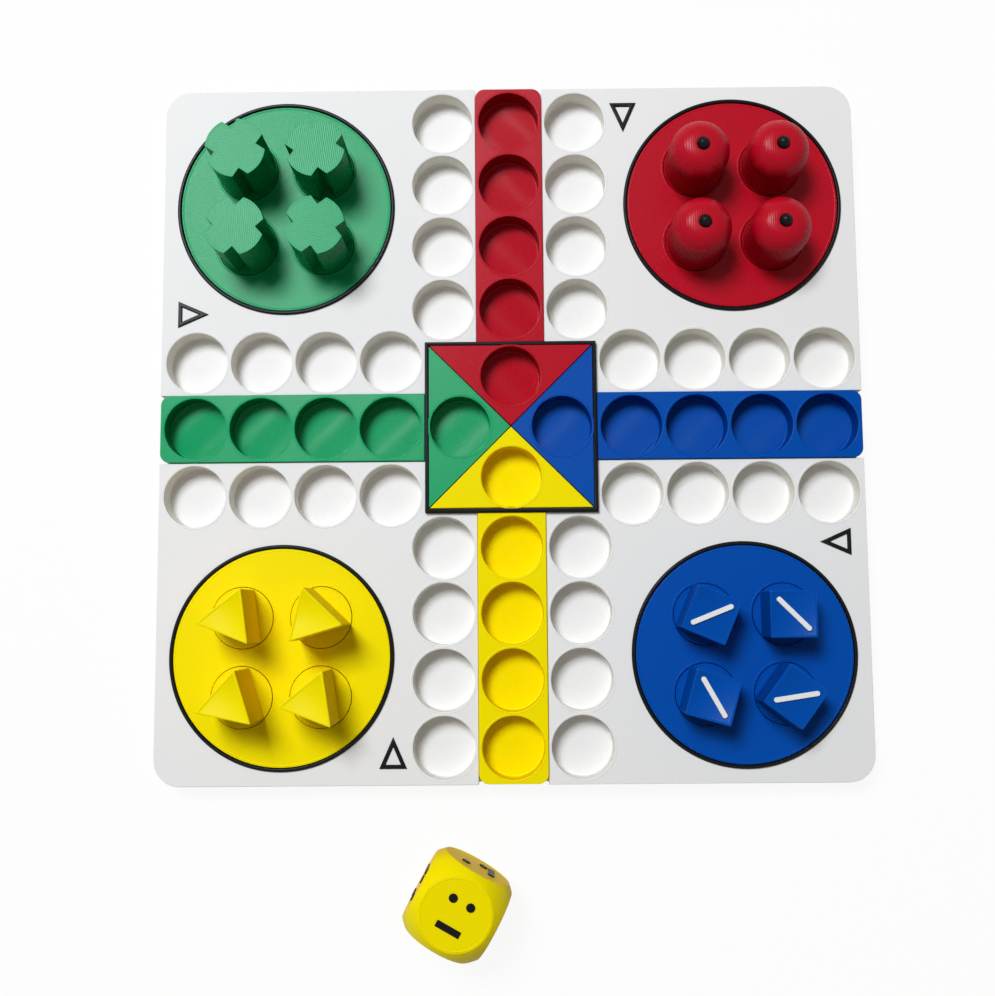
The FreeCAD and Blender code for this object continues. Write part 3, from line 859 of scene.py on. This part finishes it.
@dataclass
class Pawns:
    """The sixteen pawns, printed in layers on round plugs, each turned as it stands in its socket."""

    rack: Rack
    shoulder_mm: float = 7.3
    body_overlap_mm: float = 0.4
    plug_radius_mm: float = 9.0
    drawn_plug_mm: float = 9.2
    foot_mm: float = 1.0
    notch_depth_mm: float = 2.6
    prism_reach_mm: float = 9.45
    prism_edge_mm: float = 0.35
    prism_draw_share: float = 2.0  # how far a corner is drawn in for each millimetre of its sides
    block_reach_mm: float = 9.7
    block_edge_mm: float = 0.5
    block_draw_share: float = 1.4  # the same for the square
    bar_ease_mm: float = 0.2
    dome_rounding_mm: float = 6.3
    round_steps: int = 96
    top_slack_mm: float = 0.01
    corner_slack_mm: float = 0.005
    corner_spread: float = 0.3  # radians

    def axis(self, node: str) -> Vector:
        """Where a pawn's axis stands, with the height of its foot."""
        low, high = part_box(node)
        return Vector(((low[0] + high[0]) / 2, (low[1] + high[1]) / 2, low[2]))

    def facing(self, node: str, axis: Vector, nearest: bool) -> float:
        """The direction of a pawn's deepest notch or farthest corner, read from its top.

        Args:
            node: the pawn's CAD node.
            axis: where its axis stands.
            nearest: whether the notch is asked for, and not the corner.

        Returns:
            The direction about Z, in radians.
        """
        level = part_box(node)[1][2] - self.top_slack_mm * MM
        vertices = frame["nodes"][node].data.vertices
        around = [vertex.co - axis for vertex in vertices if vertex.co.z > level]
        chosen = (min if nearest else max)(around, key=lambda offset: offset.xy.length)
        if nearest:
            return math.atan2(chosen.y, chosen.x)
        least = chosen.xy.length - self.corner_slack_mm * MM
        corners = [offset.xy for offset in around if offset.xy.length > least]
        near = [offset for offset in corners if offset.angle(corners[0]) < self.corner_spread]
        middle = sum(near, Vector((0.0, 0.0))) / len(near)
        return math.atan2(middle.y, middle.x)

    def circle(self, radius: float) -> Outline:
        """A round outline."""
        angles = [2 * math.pi * step / self.round_steps for step in range(self.round_steps)]
        return [(radius * math.cos(angle), radius * math.sin(angle)) for angle in angles]

    def notched(self, radius: float, turn: float) -> Outline:
        """A round outline with four notches whose sides stand at right angles."""
        deep = radius - self.notch_depth_mm
        # A notch's side starts where its slope of 45 degrees meets the round outline
        reach = (deep + math.sqrt(2 * radius * radius - deep * deep)) / 2
        edge = math.atan2(reach - deep, reach)
        span = math.pi / 2 - 2 * edge
        outline = []
        steps = self.round_steps // 4
        for quarter in range(4):
            middle = turn + quarter * math.pi / 2
            outline.append((deep * math.cos(middle), deep * math.sin(middle)))
            for step in range(steps + 1):
                angle = middle + edge + span * step / steps
                outline.append((radius * math.cos(angle), radius * math.sin(angle)))
        return outline

    def regular(self, sides: int, reach: float, edge: float, turn: float) -> Outline:
        """A regular outline with rounded corners, one of them in the direction of turn."""
        angles = [turn + 2 * math.pi * side / sides for side in range(sides)]
        corners = [(reach * math.cos(angle), reach * math.sin(angle)) for angle in angles]
        return rounded_polygon(corners, edge)

    def dome_radius(self, height: float, top: float) -> float:
        """The radius of the domed pawn at a height, with the top's height given, in millimetres."""
        above = max(0.0, height - (top - self.dome_rounding_mm))
        inner = self.plug_radius_mm - self.dome_rounding_mm
        return inner + math.sqrt(max(0.0, self.dome_rounding_mm**2 - above**2))

    def build(self) -> None:
        """Prints all pawns and their dots and bars."""
        for number in PAWN_NUMBERS:
            self.green(f"green_pawn_{number}", number)
            self.yellow(f"yellow_pawn_{number}", number)
            self.blue(f"blue_pawn_{number}")
            self.red(f"red_pawn_{number}")

    def plug(self, node: str) -> tuple[LayerStack, Vector, float, float]:
        """Starts a pawn with its plug.

        Args:
            node: the pawn's CAD node.

        Returns:
            The stack, the pawn's axis, the shoulder's height and the top's height, in millimetres.
        """
        axis = self.axis(node)
        foot = axis.z / MM
        stack = LayerStack()

        def around(height: float, inset: float) -> Outline:
            """The plug's outline: the solid's width at the foot, and wider above so that its gap looks thin."""
            radius = self.plug_radius_mm if height < foot + self.foot_mm else self.drawn_plug_mm
            return self.circle(radius - inset)

        stack.add(around, foot, foot + self.shoulder_mm, axis)
        return stack, axis, foot + self.shoulder_mm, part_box(node)[1][2] / MM

    def green(self, node: str, number: int) -> None:
        """A notched pawn, with its beads in line with two of its notches."""
        stack, axis, shoulder, top = self.plug(node)
        turn = self.facing(node, axis, True)

        def around(height: float, inset: float) -> Outline:
            """The notched outline."""
            return self.notched(self.plug_radius_mm - inset, turn)

        stack.add(around, shoulder - self.body_overlap_mm, top, axis)
        beads = turn + (math.pi / 2 if number in (1, 2) else 0.0)
        self.rack.dress(node, stack.mesh(f"{node}_print"), beads)

    def yellow(self, node: str, number: int) -> None:
        """A three-sided pawn, with its beads in a direction of its own."""
        stack, axis, shoulder, top = self.plug(node)
        turn = self.facing(node, axis, False)

        def around(height: float, inset: float) -> Outline:
            """The three-sided outline."""
            reach = self.prism_reach_mm - self.prism_draw_share * inset
            return self.regular(3, reach, self.prism_edge_mm, turn)

        stack.add(around, shoulder - self.body_overlap_mm, top, axis)
        self.rack.dress(node, stack.mesh(f"{node}_print"), turn + number)

    def blue(self, node: str) -> None:
        """A square pawn with a white bar."""
        stack, axis, shoulder, top = self.plug(node)
        turn = self.facing(node, axis, False)

        def around(height: float, inset: float) -> Outline:
            """The square outline."""
            reach = self.block_reach_mm - self.block_draw_share * inset
            return self.regular(4, reach, self.block_edge_mm, turn)

        stack.add(around, shoulder, top, axis)
        self.rack.dress(node, stack.mesh(f"{node}_print"), turn + math.pi / 4)
        bar = f"{node}_bar"
        self.rack.dress(bar, eased_copy(bar, self.bar_ease_mm, top_edges(bar)), turn)

    def red(self, node: str) -> None:
        """A domed pawn with a black dot."""
        stack, axis, shoulder, top = self.plug(node)

        def around(height: float, inset: float) -> Outline:
            """The round outline, which draws in towards the top."""
            return self.circle(self.dome_radius(height, top) - inset)

        stack.add(around, shoulder - self.body_overlap_mm, top, axis)
        self.rack.dress(node, stack.mesh(f"{node}_print"), 0.0)
        self.rack.dress(f"{node}_dot", eased_copy(f"{node}_dot"), 0.0)


@dataclass
class Die:
    """The die and its raised marks."""

    rack: Rack
    face_ease_mm: float = 0.5
    face_steps: int = 3
    mark_ease_mm: float = 0.18

    def build(self) -> None:
        """Eases the die's face edges and the marks."""
        self.rack.dress("die", eased_copy("die", self.face_ease_mm, every_edge, self.face_steps), DIE_TURN)
        self.rack.dress("die_marks", eased_copy("die_marks", self.mark_ease_mm, every_edge), 0.0)


@dataclass
class Studio:
    """The floor, the lamps and the camera."""

    focal_px: float = 1165.0
    image_height_px: float = 996.0
    sensor_mm: float = 36.0
    camera_mm: tuple[float, float, float] = (-2.46, -57.1, 363.2)
    right: tuple[float, float, float] = (0.999951, -0.007904, -0.005954)
    above: tuple[float, float, float] = (0.008454, 0.995085, 0.098667)
    behind: tuple[float, float, float] = (0.005145, -0.098713, 0.995103)
    floor_m: float = 3.0
    floor_colour: str = "#F4F4F4"
    floor_white_share: float = 0.92
    key_place: tuple[float, float, float] = (-0.42, 0.57, 1.3)
    key_size_m: float = 0.5
    key_watts: float = 20.0
    key_colour: str = "#F7FAFF"
    fill_light: float = 0.16
    fill_colour: str = "#FFF4E6"

    def build(self) -> None:
        """Sets up everything around the set."""
        self.floor()
        self.world()
        self.lamp()
        self.camera()

    def floor(self) -> None:
        """A pale matte table top that keeps the set's shadow."""
        half = self.floor_m / 2
        corners = [(-half, -half, 0), (half, -half, 0), (half, half, 0), (-half, half, 0)]
        mesh = bpy.data.meshes.new("floor")
        mesh.from_pydata(corners, [], [(0, 1, 2, 3)])
        floor = bpy.data.objects.new("floor", mesh)
        bpy.context.scene.collection.objects.link(floor)
        material = bpy.data.materials.new("matte_paper_floor")
        material.use_nodes = True
        tree = material.node_tree
        tree.nodes.clear()
        paper = add_node(tree, "ShaderNodeBsdfDiffuse", inputs={"Color": linear(self.floor_colour)})
        white = add_node(tree, "ShaderNodeEmission", inputs={"Color": WHITE_LIGHT, "Strength": 1.0})
        path = add_node(tree, "ShaderNodeLightPath")
        seen = add_node(
            tree,
            "ShaderNodeMath",
            {"operation": "MULTIPLY"},
            {0: path.outputs["Is Camera Ray"], 1: self.floor_white_share},
        )
        mix = add_node(
            tree, "ShaderNodeMixShader", inputs={0: seen.outputs[0], 1: paper.outputs[0], 2: white.outputs[0]}
        )
        add_node(tree, "ShaderNodeOutputMaterial", inputs={"Surface": mix.outputs[0]})
        mesh.materials.append(material)

    def world(self) -> None:
        """Even light from all around, and white where the camera sees past the floor."""
        world = bpy.data.worlds.new("studio")
        bpy.context.scene.world = world
        world.use_nodes = True
        tree = world.node_tree
        tree.nodes.clear()
        light = add_node(
            tree,
            "ShaderNodeBackground",
            inputs={"Color": linear(self.fill_colour), "Strength": self.fill_light},
        )
        white = add_node(tree, "ShaderNodeBackground", inputs={"Color": WHITE_LIGHT, "Strength": 1.0})
        path = add_node(tree, "ShaderNodeLightPath")
        seen = path.outputs["Is Camera Ray"]
        for ray in ("Is Glossy Ray", "Is Transmission Ray"):
            either = add_node(
                tree, "ShaderNodeMath", {"operation": "MAXIMUM"}, {0: seen, 1: path.outputs[ray]}
            )
            seen = either.outputs[0]
        mix = add_node(
            tree, "ShaderNodeMixShader", inputs={0: seen, 1: light.outputs[0], 2: white.outputs[0]}
        )
        add_node(tree, "ShaderNodeOutputWorld", inputs={"Surface": mix.outputs[0]})

    def lamp(self) -> None:
        """One broad soft lamp high at the back left."""
        light = bpy.data.lights.new("key", "AREA")
        light.shape = "SQUARE"
        light.size = self.key_size_m
        light.energy = self.key_watts
        light.color = linear(self.key_colour)[:3]
        lamp = bpy.data.objects.new("key", light)
        lamp.location = self.key_place
        lamp.rotation_euler = Vector(self.key_place).to_track_quat("Z", "Y").to_euler()
        bpy.context.scene.collection.objects.link(lamp)

    def camera(self) -> None:
        """A camera where the photograph's camera stood."""
        data = bpy.data.cameras.new("camera")
        data.sensor_width = self.sensor_mm
        data.lens = self.focal_px * self.sensor_mm / self.image_height_px
        data.clip_start = 0.01
        camera = bpy.data.objects.new("camera", data)
        turn = Matrix((self.right, self.above, self.behind)).transposed().to_4x4()
        camera.matrix_world = Matrix.Translation(Vector(self.camera_mm) * MM) @ turn
        bpy.context.scene.collection.objects.link(camera)
        bpy.context.scene.camera = camera


def main() -> None:
    """Dresses the set and builds the studio around it."""
    logging.basicConfig(level=logging.INFO, format="%(message)s")
    bpy.context.scene.view_settings.view_transform = "Standard"
    rack = Rack()
    Board(rack).build()
    CupBeads(rack).build()
    Pawns(rack).build()
    Die(rack).build()
    Studio().build()


if __name__ == "__main__":
    main()
